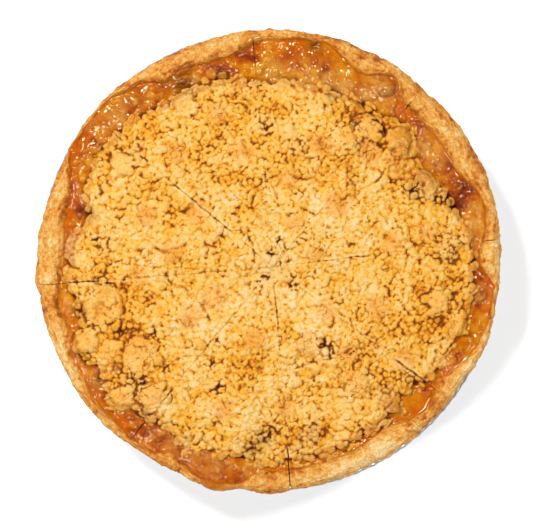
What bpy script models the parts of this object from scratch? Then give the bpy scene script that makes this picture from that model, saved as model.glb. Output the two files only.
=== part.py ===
"""A crumb-topped apple pie in its foil tin, baked whole and then cut into eight slices.

The tin stands on the XY plane with its axis on Z. Crust, filling and topping are each shaped once, as baked,
and every slice is then that whole pie met by its own wedge. All sizes are in metres.
"""

import math
import random

import bmesh
import bpy
from mathutils import Vector, noise
from mathutils.geometry import delaunay_2d_cdt

MM = 0.001

# The foil tin
FOIL = 0.6 * MM
TIN_FLOOR_RADIUS = 88.5 * MM
TIN_CORNER = (91.5 * MM, 1.6 * MM)
TIN_WALL_BOTTOM = (93.4 * MM, 4.0 * MM)
TIN_WALL_TOP = (117.4 * MM, 32.0 * MM)
TIN_LIP_START = 119.0 * MM
TIN_LIP_HEIGHT = 33.0 * MM
TIN_LIP_RADIUS = 124.6 * MM
TIN_CURL = 1.4 * MM
TIN_STEPS = 54
MERGE_DISTANCE = 0.01 * MM

# The pie in it
GAP = 0.45 * MM
CLEARANCE = 2.0 * MM
PASTRY = 3.0 * MM
STEPS = 60
CASE_FLOOR_RADIUS = 84.0 * MM
CASE_CORNER_RADIUS = 89.5 * MM
CASE_WALL = (107.4 * MM, 30.0 * MM)
SHELF_RADIUS = 109.3 * MM
SHELF_HEIGHT = 35.2 * MM

# The crust's rolled rim
RIM_CREST = 41.0 * MM
RIM_SLUMP = 3.0 * MM
RIM_WAVE = 0.6 * MM
FULL_RIM_WIDTH = 12.0 * MM
NARROWEST_RIM = 2.6 * MM
# Its crown, as (share of the rim's width, share of the slump below the crest)
RIM_CROWN = ((0.12, 0.4), (0.38, 0.0), (0.72, 0.3))
RIM_SIDE_HEIGHT = 36.6 * MM
RIM_FOOT_HEIGHT = 34.5 * MM
RIM_FOOT_INSET = 0.5 * MM
RIM_SOLE_INSET = 3.2 * MM

# The filling, and the juice that stands between topping and rim
FILLING_TOP = 32.0 * MM
FILLING_CORNER_RADIUS = 89.0 * MM
FILLING_FLOOR_RADIUS = 83.7 * MM
GLAZE_LEVEL = 36.8 * MM
GLAZE_SWELL = 1.3 * MM
GLAZE_WAVE = 0.25 * MM
GLAZE_FOOT_INSET = 1.2 * MM
GLAZE_FOOT_RADIUS = 106.3 * MM
GLAZE_FOOT_HEIGHT = 33.0 * MM
GLAZE_RISE_RADIUS = 108.3 * MM
# Where it rises and where it is level, as shares of the way from its foot to the rim
GLAZE_RISE = 0.35
GLAZE_FLAT = 0.70

# The crumb topping
TOPPING_CENTRE = 44.5 * MM
TOPPING_EDGE_HEIGHT = 39.6 * MM
PIT_DEPTH = 2.0 * MM
PIT_RADIUS = 10.0 * MM
HILL = 1.8 * MM
HILL_WIDTH = 32.0 * MM
CRUMBS_AT_MOST = 600
CRUMB_PITCH = 9.0 * MM
CRUMB_INSET = 4.0 * MM
CRUMB_RELIEF = 1.9 * MM
CRUMB_RISES = (0.5, 1.3)
BED_INSET = 1.0 * MM
BED_BOTTOM = 31.0 * MM
CLUMPS = 40
CLUMP_WIDTHS = (9.0 * MM, 12.5 * MM)
CLUMP_SPACING = 14.0 * MM
CLUMP_INSET = 7.0 * MM
CLUMP_FLATNESS = 0.8
CLUMP_SINK = 0.06
CLUMP_UNEVENNESS = 0.13
FINE_CLUMP_WIDTH = 14.5 * MM

# The knife: the cuts meet a little off the tin's axis, and run at these angles from +X
CUT_CENTRE = Vector((1.9 * MM, -3.2 * MM, 0))
CUTS = (7, 50, 95, 140, 184.5, 230.5, 274.5, 323)
KERF = 0.7 * MM
WEDGE_LENGTH = 200.0 * MM
WEDGE_BOTTOM = -10.0 * MM
WEDGE_HEIGHT = 100.0 * MM
SLIDES = (0.2 * MM, 0.6 * MM, 0.1 * MM, 0.5 * MM, 0.3 * MM, 0.1 * MM, 0.4 * MM, 0.2 * MM)

# Outlines round the pie, as (degrees from +X, radius in millimetres)
TOPPING_EDGE = (
    (2, 110), (10, 108), (18, 101), (32, 94), (43, 102), (55, 98), (72, 97), (90, 97), (112, 101), (122, 100),
    (135, 106), (150, 109), (158, 107), (166, 100), (176, 107), (188, 109), (194, 104), (206, 114), (214, 108),
    (222, 114), (228, 106), (238, 105), (246, 112), (256, 107), (270, 109), (300, 106), (317, 101), (326, 107),
    (342, 110),
)
RIM_INNER_EDGE = (
    (0, 112), (12, 118), (17, 118), (26, 111), (38, 111), (48, 110), (56, 119), (64, 112), (77, 121), (90, 119),
    (104, 111), (120, 111), (126, 118), (136, 122), (150, 122), (162, 112), (178, 110), (193, 115), (198, 112),
    (206, 117), (222, 119), (238, 120), (243, 115), (252, 122), (261, 121), (268, 112), (290, 111), (305, 109),
    (317, 115), (324, 112), (342, 121), (353, 121),
)
CRUST_EDGE = (
    (0, 125.0), (15, 126.0), (35, 126.2), (48, 124.6), (60, 125.4), (76, 125.7), (92, 125.5), (106, 124.1),
    (118, 123.7), (140, 125.3), (161, 123.9), (178, 125.6), (184, 127.0), (190, 125.2), (218, 126.0), (246, 124.4),
    (257, 127.0), (263, 124.2), (270, 126.0), (278, 124.2), (298, 123.6), (325, 123.2), (341, 126.2), (348, 125.2),
)
# The largest clumps of crumb, as (x, y, width) in millimetres
LARGE_CLUMPS = (
    (-89.6, -23.7, 23), (-70.0, -50.5, 20), (-86.0, -48.0, 13), (-98.0, -44.0, 13), (-63.0, -72.0, 15),
    (-79.5, -74.5, 14), (54.0, 71.5, 12), (70.0, 66.0, 14), (39.5, 65.5, 15), (83.5, 41.0, 15), (22.0, -45.0, 15),
    (100.0, -34.0, 13), (90.5, -22.0, 13), (-45.5, 85.0, 12), (-79.5, 52.5, 12), (46.0, -66.5, 16),
)

COLOURS = {
    "foil": ((0.62, 0.63, 0.65), 0.35, 1.0),
    "pastry": ((0.76, 0.42, 0.13), 0.75, 0.0),
    "filling": ((0.46, 0.16, 0.025), 0.25, 0.0),
    "crumb": ((0.90, 0.54, 0.15), 0.85, 0.0),
}


def clear_scene():
    for obj in list(bpy.data.objects):
        bpy.data.objects.remove(obj, do_unlink=True)


def new_collection(name):
    collection = bpy.data.collections.new(name)
    bpy.context.scene.collection.children.link(collection)
    return collection


def new_material(name):
    colour, roughness, metallic = COLOURS[name]
    material = bpy.data.materials.new(name)
    material.use_nodes = True
    shader = material.node_tree.nodes["Principled BSDF"]
    shader.inputs["Base Color"].default_value = (*colour, 1.0)
    shader.inputs["Roughness"].default_value = roughness
    shader.inputs["Metallic"].default_value = metallic
    return material


def add_object(name, mesh, collection, material=None):
    obj = bpy.data.objects.new(name, mesh)
    collection.objects.link(obj)
    if material and not mesh.materials:
        mesh.materials.append(material)
    return obj


def mesh_from(bm, name):
    """Turns the bmesh into a mesh whose faces all point outwards."""
    bmesh.ops.recalc_face_normals(bm, faces=bm.faces)
    mesh = bpy.data.meshes.new(name)
    bm.to_mesh(mesh)
    bm.free()
    return mesh


def applied(obj, name):
    """The object's mesh with its modifiers applied. The object itself is removed."""
    bpy.context.view_layer.update()
    graph = bpy.context.evaluated_depsgraph_get()
    mesh = bpy.data.meshes.new_from_object(obj.evaluated_get(graph))
    mesh.name = name
    bpy.data.objects.remove(obj, do_unlink=True)
    return mesh


def around(angle, pairs):
    """The outline's radius at this angle, eased between its neighbouring pairs."""
    degrees = math.degrees(angle) % 360
    before = max((p for p in pairs if p[0] <= degrees), default=(pairs[-1][0] - 360, pairs[-1][1]))
    after = min((p for p in pairs if p[0] > degrees), default=(pairs[0][0] + 360, pairs[0][1]))
    share = (degrees - before[0]) / (after[0] - before[0])
    ease = (1 - math.cos(math.pi * share)) / 2
    return (before[1] + (after[1] - before[1]) * ease) * MM


def wobble(angle, waves, seed):
    """Smooth noise from about -1 to 1 that closes on itself once round the pie."""
    return 1.6 * noise.noise(Vector((math.cos(angle), math.sin(angle), 0)) * waves + Vector((0, 0, seed)))


def rim_span(angle):
    """Where the crust's rim begins and ends at this angle, and how full it is, from 0 to 1."""
    outer = around(angle, CRUST_EDGE)
    inner = min(around(angle, RIM_INNER_EDGE), outer - NARROWEST_RIM)
    return inner, outer, min(1, (outer - inner) / FULL_RIM_WIDTH)


def glaze_level(angle):
    """Height of the juice between the topping and the rim. It stands higher where it has run over the rim."""
    fullness = rim_span(angle)[2]
    return GLAZE_LEVEL + GLAZE_SWELL * (1 - fullness) + GLAZE_WAVE * wobble(angle, 6, 3)


def lofted(name, section):
    """A closed mesh round Z. section(angle) lists (radius, height) from the axis, over the outside, back to it."""
    bm = bmesh.new()
    rings = []
    for step in range(STEPS):
        angle = math.tau * step / STEPS
        points = section(angle)
        rings.append([bm.verts.new((r * math.cos(angle), r * math.sin(angle), z)) for r, z in points[1:-1]])
    top = bm.verts.new((0, 0, section(0)[0][1]))
    bottom = bm.verts.new((0, 0, section(0)[-1][1]))
    for ring, following in zip(rings, rings[1:] + rings[:1]):
        bm.faces.new((top, ring[0], following[0]))
        bm.faces.new((bottom, following[-1], ring[-1]))
        for a, b, c, d in zip(ring, ring[1:], following, following[1:]):
            if (a.co - d.co).length < (b.co - c.co).length:
                bm.faces.new((a, b, d))
                bm.faces.new((a, d, c))
            else:
                bm.faces.new((a, b, c))
                bm.faces.new((b, d, c))
    return mesh_from(bm, name)


def add_tin(collection, material):
    """Adds the tin: an open sheet turned round the axis and given the foil's thickness, with a rolled lip."""
    profile = [
        (0, FOIL),
        (TIN_FLOOR_RADIUS, FOIL),
        TIN_CORNER,
        TIN_WALL_BOTTOM,
        TIN_WALL_TOP,
        (TIN_LIP_START, TIN_LIP_HEIGHT),
        (TIN_LIP_RADIUS - TIN_CURL, TIN_LIP_HEIGHT),
        (TIN_LIP_RADIUS - 0.3 * TIN_CURL, TIN_LIP_HEIGHT - 0.4 * TIN_CURL),
        (TIN_LIP_RADIUS, TIN_LIP_HEIGHT - TIN_CURL),
        (TIN_LIP_RADIUS - 0.4 * TIN_CURL, TIN_LIP_HEIGHT - 2 * TIN_CURL),
    ]
    mesh = bpy.data.meshes.new("foil_tin")
    mesh.from_pydata([(r, 0, z) for r, z in profile], [(i, i + 1) for i in range(len(profile) - 1)], [])
    tin = add_object("foil_tin", mesh, collection, material)
    turn = tin.modifiers.new("Turn", "SCREW")
    turn.steps = turn.render_steps = TIN_STEPS
    turn.use_merge_vertices = True
    turn.merge_threshold = MERGE_DISTANCE
    turn.use_smooth_shade = True
    thicken = tin.modifiers.new("Foil", "SOLIDIFY")
    thicken.thickness = FOIL
    thicken.offset = -1


def crust_section(angle):
    """Floor, sloping wall, shelf and rolled rim of the pastry case, resting on the tin's lip."""
    inner, outer, fullness = rim_span(angle)
    crest = RIM_CREST - RIM_SLUMP * (1 - fullness) + RIM_WAVE * wobble(angle, 5, 11)
    crown = [(inner + along * (outer - inner), crest - below * RIM_SLUMP) for along, below in RIM_CROWN]
    base = FOIL + GAP
    return [
        (0, base + PASTRY),
        (CASE_FLOOR_RADIUS, base + PASTRY),
        (CASE_CORNER_RADIUS, base + 2 * PASTRY),
        CASE_WALL,
        (SHELF_RADIUS, SHELF_HEIGHT),
        (inner, SHELF_HEIGHT),
        *crown,
        (outer, RIM_SIDE_HEIGHT),
        (outer - RIM_FOOT_INSET, RIM_FOOT_HEIGHT),
        (outer - RIM_SOLE_INSET, TIN_LIP_HEIGHT + GAP),
        (TIN_WALL_TOP[0], TIN_LIP_HEIGHT + GAP),
        (TIN_WALL_TOP[0] - 1.5 * CLEARANCE, TIN_WALL_TOP[1] - 0.5 * CLEARANCE),
        (TIN_WALL_BOTTOM[0] - CLEARANCE, TIN_WALL_BOTTOM[1]),
        (TIN_FLOOR_RADIUS - 0.5 * CLEARANCE, base),
        (0, base),
    ]


def glaze_line(angle):
    """The filling's upper surface from the axis outwards: flat under the topping, rising to the juice at the rim."""
    end = rim_span(angle)[0] - GAP
    foot = min(around(angle, TOPPING_EDGE) - GLAZE_FOOT_INSET, GLAZE_FOOT_RADIUS)
    reach = end - foot
    level = glaze_level(angle)
    return [
        (0, FILLING_TOP),
        (foot - 7 * MM, FILLING_TOP - 0.5 * MM),
        (foot, GLAZE_FOOT_HEIGHT),
        (min(foot + GLAZE_RISE * reach, GLAZE_RISE_RADIUS), level - 0.6 * MM),
        (foot + GLAZE_FLAT * reach, level),
        (end, level - 0.3 * MM),
    ]


def filling_section(angle):
    """Apple and juice, from the pastry's floor up to the ring of glaze inside the rim."""
    inner = rim_span(angle)[0]
    floor = FOIL + 2 * GAP + PASTRY
    return glaze_line(angle) + [
        (inner - GAP, SHELF_HEIGHT + GAP),
        (SHELF_RADIUS - GAP, SHELF_HEIGHT + GAP),
        (CASE_WALL[0] - GAP, CASE_WALL[1] + GAP),
        (FILLING_CORNER_RADIUS, floor + PASTRY),
        (FILLING_FLOOR_RADIUS, floor),
        (0, floor),
    ]


def topping_room_section(angle):
    """The space that the topping may fill: above the filling and inside the rim."""
    floor = [(r, z + GAP) for r, z in glaze_line(angle)]
    ceiling = 2 * TOPPING_CENTRE
    return [(0, ceiling), (floor[-1][0], ceiling)] + floor[::-1]


def dome(x, y):
    """Height of the topping's even surface, without its crumbs, at this point."""
    share = min(1, math.hypot(x, y) / around(math.atan2(y, x), TOPPING_EDGE))
    rise = (TOPPING_CENTRE - TOPPING_EDGE_HEIGHT) * (1 - share**4)
    hills = HILL * noise.noise(Vector((x, y, 0)) / HILL_WIDTH)
    pit = PIT_DEPTH * math.exp(-((Vector((x, y, 0)) - CUT_CENTRE).length_squared / PIT_RADIUS**2))
    return TOPPING_EDGE_HEIGHT + rise + hills - pit


def scattered(count, spacing, inset, draw, kept=()):
    """Up to this many seeded points on the topping, each clear of the others and of the kept ones."""
    points = list(kept)
    for _ in range(20 * count):
        angle = draw.uniform(0, math.tau)
        radius = (around(angle, TOPPING_EDGE) - inset) * math.sqrt(draw.random())
        point = Vector((radius * math.cos(angle), radius * math.sin(angle)))
        if all((point - other).length > spacing for other in points):
            points.append(point)
        if len(points) == count + len(kept):
            break
    return points[len(kept):]


def triangulated(points, outline=()):
    """Points and triangles of the flat mesh through the points, kept inside the outline where one is given."""
    rim = [list(range(len(points), len(points) + len(outline)))] if outline else []
    kept = 1 if outline else 0
    coords, _, triangles, *_ = delaunay_2d_cdt([*points, *outline], [], rim, kept, MERGE_DISTANCE)
    return coords, triangles


def crumb_bed(draw):
    """The topping's core: a disc with an uneven edge, whose top rises to each crumb and dips between them."""
    outline = []
    for step in range(2 * STEPS):
        angle = math.pi * step / STEPS
        radius = around(angle, TOPPING_EDGE) - BED_INSET
        outline.append(Vector((radius * math.cos(angle), radius * math.sin(angle))))
    crumbs = scattered(CRUMBS_AT_MOST, CRUMB_PITCH, CRUMB_INSET, draw)
    coords, triangles = triangulated(crumbs)
    dips = [(coords[a] + coords[b] + coords[c]) / 3 for a, b, c in triangles]
    flat, triangles = triangulated(crumbs + dips, outline)
    bm = bmesh.new()
    for number, point in enumerate(flat):
        relief = draw.uniform(*CRUMB_RISES) if number < len(crumbs) else -1
        bm.verts.new((point.x, point.y, dome(point.x, point.y) + CRUMB_RELIEF * relief))
    bm.verts.ensure_lookup_table()
    top = [bm.faces.new([bm.verts[i] for i in triangle]) for triangle in triangles]
    lower = bmesh.ops.extrude_face_region(bm, geom=top, use_keep_orig=True)["geom"]
    for part in lower:
        if isinstance(part, bmesh.types.BMVert):
            part.co.z = BED_BOTTOM
    return mesh_from(bm, "crumb_bed")


def add_clump(x, y, width, draw, collection):
    """Adds one lump of crumb: a flattened ball with an uneven surface, set about half into the bed."""
    bm = bmesh.new()
    bmesh.ops.create_icosphere(bm, subdivisions=2 if width > FINE_CLUMP_WIDTH else 1, radius=width / 2)
    for vert in bm.verts:
        vert.co *= 1 + draw.uniform(-CLUMP_UNEVENNESS, CLUMP_UNEVENNESS)
    clump = add_object("clump", mesh_from(bm, "clump"), collection)
    clump.location = (x, y, dome(x, y) - CLUMP_SINK * width)
    clump.rotation_euler.z = draw.uniform(0, math.tau)
    clump.scale.z = CLUMP_FLATNESS


def boolean(obj, operation, other):
    """Adds the Boolean of the object with another object, or with all of a collection."""
    modifier = obj.modifiers.new(operation.capitalize(), "BOOLEAN")
    modifier.operation = operation
    modifier.solver = "EXACT"
    if isinstance(other, bpy.types.Collection):
        modifier.operand_type = "COLLECTION"
        modifier.collection = other
    else:
        modifier.object = other


def topping_mesh(helpers):
    """The crumb bed with its clumps fused on, trimmed to the room above the filling."""
    draw = random.Random(7)
    bed = add_object("bed", crumb_bed(draw), helpers)
    clumps = new_collection("clumps")
    large = [(x * MM, y * MM, width * MM) for x, y, width in LARGE_CLUMPS]
    centres = [Vector((x, y)) for x, y, _ in large]
    small = scattered(CLUMPS, CLUMP_SPACING, CLUMP_INSET, draw, centres)
    for x, y, width in large + [(p.x, p.y, draw.uniform(*CLUMP_WIDTHS)) for p in small]:
        add_clump(x, y, width, draw, clumps)
    room = add_object("topping_room", lofted("topping_room", topping_room_section), helpers)
    boolean(bed, "UNION", clumps)
    boolean(bed, "INTERSECT", room)
    mesh = applied(bed, "topping")
    for clump in list(clumps.objects):
        bpy.data.objects.remove(clump, do_unlink=True)
    bpy.data.collections.remove(clumps)
    bpy.data.objects.remove(room, do_unlink=True)
    return mesh


def wedge_object(number, helpers):
    """The cutter of one slice: a tall wedge that stops half a kerf short of the knife's two lines."""
    start = math.radians(CUTS[number])
    end = math.radians(CUTS[(number + 1) % len(CUTS)])
    half = (end - start) % math.tau / 2
    middle = start + half
    apex = CUT_CENTRE + Vector((math.cos(middle), math.sin(middle), 0)) * (KERF / 2 / math.sin(half))
    corners = [apex] + [apex + WEDGE_LENGTH * Vector((math.cos(a), math.sin(a), 0)) for a in (start, end)]
    bm = bmesh.new()
    lower = [bm.verts.new((corner.x, corner.y, WEDGE_BOTTOM)) for corner in corners]
    face = bm.faces.new(lower)
    upper = bmesh.ops.extrude_face_region(bm, geom=[face], use_keep_orig=True)["geom"]
    for part in upper:
        if isinstance(part, bmesh.types.BMVert):
            part.co.z += WEDGE_HEIGHT
    wedge = add_object(f"wedge_{number + 1}", mesh_from(bm, "wedge"), helpers)
    wedge.display_type = "WIRE"
    return wedge, middle


def add_slices(layers, pie, helpers):
    """Cuts every layer into the eight slices, each drawn out a little from the cuts' meeting point."""
    for number, slide in enumerate(SLIDES):
        wedge, middle = wedge_object(number, helpers)
        place = add_object(f"slice_{number + 1}", None, pie)
        place.location = (slide * math.cos(middle), slide * math.sin(middle), 0)
        wedge.parent = place
        for name, mesh, material in layers:
            piece = add_object(f"{name}_{number + 1}", mesh, pie, material)
            piece.parent = place
            boolean(piece, "INTERSECT", wedge)


def build():
    clear_scene()
    pie = new_collection("crumb_apple_pie")
    helpers = new_collection("cutters")
    helpers.hide_render = True
    add_tin(pie, new_material("foil"))
    crust = lofted("crust", crust_section)
    filling = lofted("filling", filling_section)
    topping = topping_mesh(helpers)
    crust.shade_smooth()
    filling.shade_smooth()
    layers = (
        ("crust", crust, new_material("pastry")),
        ("filling", filling, new_material("filling")),
        ("topping", topping, new_material("crumb")),
    )
    add_slices(layers, pie, helpers)
    bpy.context.view_layer.update()


build()
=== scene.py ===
"""The looks of a crumb-topped apple pie in a foil tin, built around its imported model.

Lengths are in metres and angles in degrees from +X, anticlockwise, seen from above. Colours are written
as they look in the picture, from 0 to 255, and turned into the surface's own by surface_colour().
"""

import itertools
import math

import bmesh
import bpy
import numpy as np
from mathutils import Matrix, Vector, noise


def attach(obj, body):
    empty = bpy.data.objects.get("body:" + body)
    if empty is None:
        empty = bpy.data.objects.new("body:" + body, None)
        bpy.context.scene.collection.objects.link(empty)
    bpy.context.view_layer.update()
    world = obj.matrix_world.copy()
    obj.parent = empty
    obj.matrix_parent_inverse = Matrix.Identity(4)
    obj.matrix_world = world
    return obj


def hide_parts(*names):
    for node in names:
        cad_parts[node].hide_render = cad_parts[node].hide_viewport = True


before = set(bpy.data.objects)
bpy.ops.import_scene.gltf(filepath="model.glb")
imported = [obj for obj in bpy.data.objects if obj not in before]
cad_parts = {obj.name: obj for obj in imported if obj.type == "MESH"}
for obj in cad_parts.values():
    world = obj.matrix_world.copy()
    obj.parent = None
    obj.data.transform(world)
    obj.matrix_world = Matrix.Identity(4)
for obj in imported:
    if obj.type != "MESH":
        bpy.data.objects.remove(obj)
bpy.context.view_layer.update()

MM = 0.001

# The tin and the pie's layers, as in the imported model
FOIL = 0.6 * MM
TIN_FLOOR_RADIUS = 88.5 * MM
TIN_WALL_BOTTOM = (93.4 * MM, 4.0 * MM)
TIN_WALL_TOP = (117.4 * MM, 32.0 * MM)
TIN_LIP_HEIGHT = 33.0 * MM
TIN_LIP_RADIUS = 124.6 * MM
GAP = 0.45 * MM
CLEARANCE = 2.0 * MM
PASTRY = 3.0 * MM
RIM_CREST = 41.0 * MM
RIM_SLUMP = 3.0 * MM
FULL_RIM_WIDTH = 12.0 * MM
SHELF_RADIUS = 109.3 * MM
SHELF_HEIGHT = 35.2 * MM
CASE_WALL = (107.4 * MM, 30.0 * MM)
FILLING_TOP = 32.0 * MM
GLAZE_LEVEL = 36.8 * MM
GLAZE_SWELL = 1.3 * MM
TOPPING_CENTRE = 44.5 * MM
TOPPING_EDGE_HEIGHT = 39.6 * MM
PIT_DEPTH = 2.0 * MM
PIT_RADIUS = 10.0 * MM
HILL = 1.8 * MM
HILL_WIDTH = 32.0 * MM
CUT_CENTRE = Vector((1.9 * MM, -3.2 * MM, 0))
CUTS = (7, 50, 95, 140, 184.5, 230.5, 274.5, 323)
KERF = 0.03 * MM

# Outlines round the pie, as (degrees, radius in millimetres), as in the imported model
TOPPING_EDGE = (
    (2, 110), (10, 108), (18, 101), (32, 94), (43, 102), (55, 98), (72, 97), (90, 97), (112, 101),
    (122, 100), (135, 106), (150, 109), (158, 107), (166, 100), (176, 107), (188, 109), (194, 104),
    (206, 114), (214, 108), (222, 114), (228, 106), (238, 105), (246, 112), (256, 107), (270, 109),
    (300, 106), (317, 101), (326, 107), (342, 110),
)
RIM_INNER_EDGE = (
    (0, 112), (12, 118), (17, 118), (26, 111), (38, 111), (48, 110), (56, 119), (64, 112), (77, 121),
    (90, 119), (104, 111), (120, 111), (126, 118), (136, 122), (150, 122), (162, 112), (178, 110),
    (193, 115), (198, 112), (206, 117), (222, 119), (238, 120), (243, 115), (252, 122), (261, 121),
    (268, 112), (290, 111), (305, 109), (317, 115), (324, 112), (342, 121), (353, 121),
)
CRUST_EDGE = (
    (0, 125), (15, 126), (35, 126.2), (48, 124.6), (60, 125.4), (76, 125.7), (92, 125.5), (106, 124.1),
    (118, 123.7), (140, 125.3), (161, 123.9), (178, 125.6), (184, 127), (190, 125.2), (218, 126),
    (246, 124.4), (257, 127), (263, 124.2), (270, 126), (278, 124.2), (298, 123.6), (325, 123.2),
    (341, 126.2), (348, 125.2),
)
LARGE_CLUMPS = (
    (-89.6, -23.7, 23), (-70, -50.5, 20), (-86, -48, 13), (-98, -44, 13), (-63, -72, 15),
    (-79.5, -74.5, 14), (54, 71.5, 12), (70, 66, 14), (39.5, 65.5, 15), (83.5, 41, 15), (22, -45, 15),
    (100, -34, 13), (90.5, -22, 13), (-45.5, 85, 12), (-79.5, 52.5, 12), (46, -66.5, 16),
)


# Noise, blending and distances on whole arrays


def smoothstep(low, high, value):
    share = np.clip((value - low) / (high - low), 0, 1)
    return share * share * (3 - 2 * share)


def between(start, end, ease, value):
    """1 within a stretch, easing to 0 over this length at both its ends."""
    return smoothstep(start, start + ease, value) * smoothstep(end, end - ease, value)


def bell(value, width):
    """1 at zero, and nearly 0 from twice this width on."""
    return np.exp(-((value / width) ** 2))


def angle_off(degrees, place):
    """How far these angles are past a place round the pie, from -180 to 180."""
    return (degrees - place + 180) % 360 - 180


def near_stretches(degrees, stretches):
    """How near these angles are to stretches given as (degrees, half width in degrees), from 0 to 1."""
    return sum(bell(angle_off(degrees, place), width) for place, width in stretches)


def distance(points, x=0, y=0):
    """How far points are from a place, seen from above."""
    return np.hypot(points[..., 0] - x, points[..., 1] - y)


def swung(turns, radius, height):
    """Points at these angles in radians, radii and heights."""
    return np.stack([radius * np.cos(turns), radius * np.sin(turns), height], axis=-1)


def hashed(cells, seed):
    """A number from -1 to 1 for each whole-number cell, the same on every run."""
    mixed = np.full(cells.shape[:-1], seed * 7919 + 17, np.int64)
    for axis in range(cells.shape[-1]):
        mixed = (mixed * 1664525 + cells[..., axis] * 1013904223 + 12345) & 0xFFFFFFFF
        mixed = (mixed ^ (mixed >> 15)) * 2246822519 & 0xFFFFFFFF
        mixed = mixed ^ (mixed >> 13)
    return (mixed & 0xFFFF) / 32767.5 - 1


def grain(points, size, seed):
    """Smooth noise from -1 to 1 with features of this size, at points in two or three dimensions."""
    scaled = points / size
    cells = np.floor(scaled).astype(np.int64)
    share = scaled - cells
    share = share * share * (3 - 2 * share)
    total = np.zeros(points.shape[:-1])
    for corner in itertools.product((0, 1), repeat=points.shape[-1]):
        near = np.prod(np.where(corner, share, 1 - share), axis=-1)
        total += near * hashed(cells + np.array(corner), seed)
    return total


def layered(points, size, seed, octaves=3):
    """Several octaves of grain, from -1 to 1, with features of up to this size in millimetres."""
    total = sum(grain(points, size * MM / 2**k, seed + k) / 2**k for k in range(octaves))
    return total / (2 - 2 ** (1 - octaves))


def around(degrees, pairs):
    """The outline's value at these angles, eased between its neighbouring pairs."""
    angles = np.array([pairs[-1][0] - 360] + [p[0] for p in pairs] + [pairs[0][0] + 360], float)
    values = np.array([pairs[-1][1]] + [p[1] for p in pairs] + [pairs[0][1]], float)
    degrees = np.mod(degrees, 360)
    after = np.clip(np.searchsorted(angles, degrees, side="right"), 1, len(angles) - 1)
    share = (degrees - angles[after - 1]) / (angles[after] - angles[after - 1])
    ease = (1 - np.cos(np.pi * share)) / 2
    return values[after - 1] + (values[after] - values[after - 1]) * ease


def wobble(degrees, waves, seed):
    """Smooth noise from about -1 to 1 that closes on itself once round the pie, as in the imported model."""
    turns = np.radians(degrees)
    values = [
        noise.noise(Vector((c, s, 0)) * waves + Vector((0, 0, seed)))
        for c, s in zip(np.cos(turns).ravel(), np.sin(turns).ravel())
    ]
    return 1.6 * np.reshape(values, np.shape(degrees))


def blurred(field, reach):
    """The field softened by three box blurs of this many samples each way."""
    width = 2 * reach + 1
    for axis in (0, 1) * 3:
        edges = [(reach + 1, reach) if a == axis else (0, 0) for a in (0, 1)]
        sums = np.cumsum(np.pad(field, edges, mode="edge"), axis=axis)
        high = np.take(sums, range(width, sums.shape[axis]), axis=axis)
        low = np.take(sums, range(0, sums.shape[axis] - width), axis=axis)
        field = (high - low) / width
    return field


# Colours


LIGHT_GAIN = 1.55
SHEEN_VEIL = 0.018


def surface_colour(*rgb):
    """The surface's own linear colour for a colour as it looks in the picture, from 0 to 255."""
    share = np.array(rgb, float) / 255
    linear = np.where(share <= 0.04045, share / 12.92, ((share + 0.055) / 1.055) ** 2.4)
    return np.clip(linear - SHEEN_VEIL, 0.002, 1) / LIGHT_GAIN


def ramp(value, stops):
    """Colours along a ramp of (position, colour) stops."""
    places = [stop[0] for stop in stops]
    colours = np.array([surface_colour(*stop[1]) for stop in stops])
    return np.stack([np.interp(value, places, colours[:, k]) for k in range(3)], axis=-1)


def mixed(first, second, weight):
    return first + (np.asarray(second) - first) * weight[..., None]


def tinted(colours, rgb, weight):
    return mixed(colours, surface_colour(*rgb), weight)


CRUMB_TONES = (
    (0.00, (251, 216, 156)),
    (0.25, (249, 202, 123)),
    (0.50, (244, 185, 80)),
    (0.70, (234, 158, 46)),
    (0.85, (202, 118, 32)),
    (1.00, (130, 70, 24)),
)
PASTRY_TONES = (
    (0.00, (250, 212, 146)),
    (0.30, (242, 182, 92)),
    (0.55, (234, 160, 68)),
    (0.78, (215, 128, 40)),
    (1.00, (172, 92, 28)),
)
GLAZE_TONES = (
    (0.00, (224, 160, 66)),
    (0.30, (206, 126, 20)),
    (0.55, (184, 92, 2)),
    (0.78, (140, 60, 2)),
    (1.00, (74, 30, 2)),
)
TAN_TONES = (
    (0.00, (246, 196, 122)),
    (0.40, (238, 168, 80)),
    (0.70, (224, 144, 52)),
    (1.00, (170, 92, 30)),
)
CLUMP_TONES = (
    (0.00, (250, 198, 114)),
    (0.40, (243, 172, 78)),
    (0.70, (226, 146, 56)),
    (1.00, (170, 92, 32)),
)
MILKY = (214, 158, 82)
BURNT = (82, 32, 8)
AMBER = (206, 100, 4)
SUNKEN_APPLE = (228, 156, 62)
PALE_PASTRY = (222, 170, 104)
PALE_CRUMB = (240, 200, 124)
CUT_CRUMB = (250, 216, 150)
CRUSHED_CRUMB = (222, 190, 134)
DARK_SPECK = (150, 88, 34)
DARK_FOIL = (0.30, 0.31, 0.34, 1)
BRIGHT_FOIL = (0.62, 0.62, 0.65, 1)


# Materials


def set_inputs(shader, values):
    for name, value in values.items():
        shader.inputs[name].default_value = value


def join(tree, target, sources):
    """Links outputs, each given by the name or number of the input that it feeds."""
    for name, output in sources.items():
        tree.links.new(output, target.inputs[name])


def node(tree, kind, values, sources, **settings):
    made = tree.nodes.new(kind)
    for name, value in settings.items():
        setattr(made, name, value)
    set_inputs(made, values)
    join(tree, made, sources)
    return made


def ranged(tree, value, low, high):
    """A value from 0 to 1 brought to this range."""
    limits = {"To Min": low, "To Max": high}
    return node(tree, "ShaderNodeMapRange", limits, {"Value": value}).outputs["Result"]


def new_material(name, shader_values):
    """A material, with its node tree and its shader."""
    material = bpy.data.materials.new(name)
    material.use_nodes = True
    shader = material.node_tree.nodes["Principled BSDF"]
    set_inputs(shader, shader_values)
    return material, material.node_tree, shader


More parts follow.
